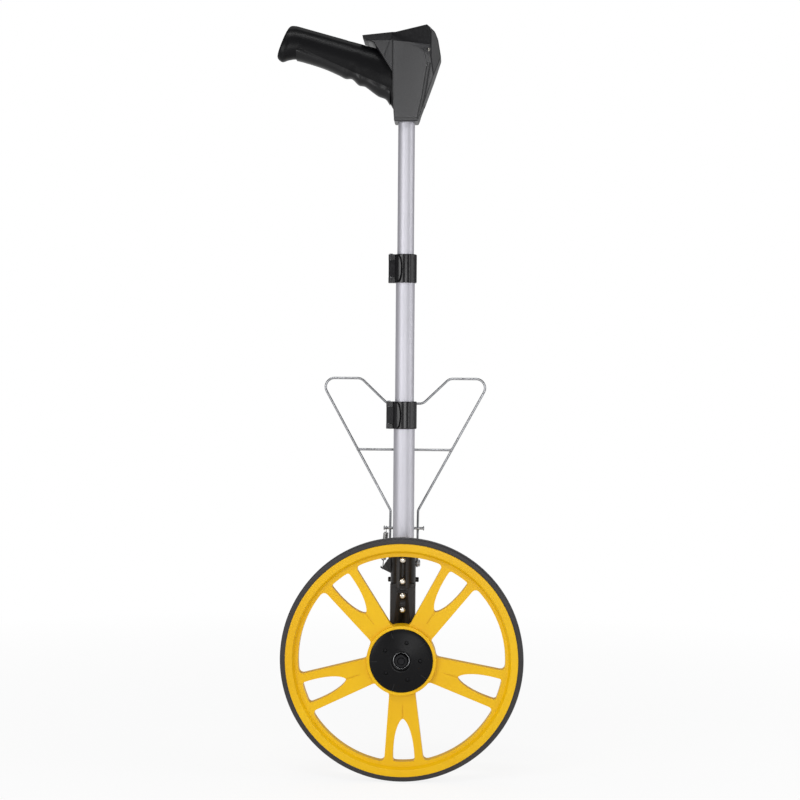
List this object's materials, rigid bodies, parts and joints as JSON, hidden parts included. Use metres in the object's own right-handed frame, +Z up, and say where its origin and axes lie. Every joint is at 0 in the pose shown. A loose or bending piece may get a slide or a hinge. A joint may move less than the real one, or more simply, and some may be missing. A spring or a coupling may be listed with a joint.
{
  "type": "measuring wheel",
  "caption": "Folding distance measuring wheel with a spoked wheel on a one-sided arm, telescopic tube with cam clamps, wire stand and pistol-grip counter head.",
  "frame": {"origin": "middle of the hand grip, where a person holds the tool", "axes": "+X forward, the way the wheel is pushed, +Z up along the tube, +Y to the left, away from the side that carries the wheel"},
  "size_m": [0.3306, 0.0835, 0.9907],
  "materials": {
    "tyre": "fine matt rubber",
    "yellow": "moulded ABS, semi-gloss",
    "black": "moulded, fine spark texture",
    "soft": "soft-touch elastomer",
    "tube": "satin anodised",
    "steel": "zinc plated wire and bar",
    "nickel": "bright nickel plate",
    "board": "solder mask on glass fibre",
    "lens": "clear acrylic",
    "display": "reflective liquid crystal panel",
    "key": "moulded silicone",
    "cell": "shrink sleeve on steel"
  },
  "bodies": {
    "handle": {"handle_shell_right": "black", "handle_shell_left": "black", "finger_grip": "soft", "top_bezel": "black", "lcd_lens": "lens", "lcd_panel": "display", "circuit_board": "board", "front_cover": "black", "battery_holder": "black", "battery_1": "cell", "battery_2": "cell", "battery_3": "cell", "battery_4": "cell", "cover_screw_1": "nickel", "cover_screw_2": "nickel", "shell_screw_1": "nickel", "shell_screw_2": "nickel", "upper_tube": "tube", "upper_tube_guide": "soft"},
    "middle": {"middle_tube": "tube", "middle_tube_guide": "soft", "upper_clamp_collar": "black", "upper_clamp_pin": "steel"},
    "upper_lever": {"upper_clamp_lever": "black"},
    "lower": {"lower_tube": "tube", "lower_clamp_collar": "black", "lower_clamp_pin": "steel", "arm_housing": "black", "arm_cover": "black", "arm_screw_1": "nickel", "arm_screw_2": "nickel", "arm_screw_3": "nickel", "arm_screw_4": "nickel", "sensor_board": "board", "axle_bolt": "steel", "axle_nut": "nickel", "stand_pivot_screw_1": "nickel", "stand_pivot_screw_2": "nickel", "stand_spring": "steel"},
    "lower_lever": {"lower_clamp_lever": "black"},
    "wheel": {"tyre": "tyre", "wheel_disc": "yellow", "hub_cap": "black", "hub_cap_screw_1": "nickel", "hub_cap_screw_2": "nickel", "hub_cap_screw_3": "nickel", "hub_cap_screw_4": "nickel", "hub_cap_screw_5": "nickel", "hub_rear_cap": "black", "magnet_ring": "soft", "bearing_front": "steel", "bearing_rear": "steel", "bearing_spacer": "steel"},
    "stand": {"stand_frame": "steel", "stand_cross_bar": "steel", "stand_cross_pin": "steel"},
    "key_body_1": {"key_1": "key"},
    "key_body_2": {"key_2": "key"},
    "key_body_3": {"key_3": "key"},
    "key_body_4": {"key_4": "key"}
  },
  "joints": [
    {"name": "upper_slide", "type": "slide", "parent": "handle", "child": "middle", "axis": [0, 0, 1], "range_m": [0, 0.165]},
    {"name": "middle_slide", "type": "slide", "parent": "middle", "child": "lower", "axis": [0, 0, 1], "range_m": [0, 0.14]},
    {"name": "upper_lever_hinge", "type": "hinge", "parent": "middle", "child": "upper_lever", "pos_m": [0.08116, -0.0034, -0.2856], "axis": [0, 0, -1], "range_deg": [0, 110]},
    {"name": "lower_lever_hinge", "type": "hinge", "parent": "lower", "child": "lower_lever", "pos_m": [0.07966, -0.0034, -0.479], "axis": [0, 0, -1], "range_deg": [0, 110]},
    {"name": "wheel_spin", "type": "hinge", "parent": "lower", "child": "wheel", "pos_m": [0.10006, -0.032, -0.7976], "axis": [0, 1, 0], "continuous": true},
    {"name": "stand_fold", "type": "hinge", "parent": "lower", "child": "stand", "pos_m": [0.10006, 0.008, -0.676], "axis": [-1, 0, 0], "range_deg": [0, 137], "deforming": ["stand_spring"]},
    {"name": "key_press_1", "type": "slide", "parent": "handle", "child": "key_body_1", "axis": [0, 0, -1], "range_m": [0, 0.001], "stiffness_N_per_m": 600, "springref_m": -0.0003},
    {"name": "key_press_2", "type": "slide", "parent": "handle", "child": "key_body_2", "axis": [0, 0, -1], "range_m": [0, 0.001], "stiffness_N_per_m": 600, "springref_m": -0.0003},
    {"name": "key_press_3", "type": "slide", "parent": "handle", "child": "key_body_3", "axis": [0, 0, -1], "range_m": [0, 0.001], "stiffness_N_per_m": 600, "springref_m": -0.0003},
    {"name": "key_press_4", "type": "slide", "parent": "handle", "child": "key_body_4", "axis": [0, 0, -1], "range_m": [0, 0.001], "stiffness_N_per_m": 600, "springref_m": -0.0003}
  ]
}
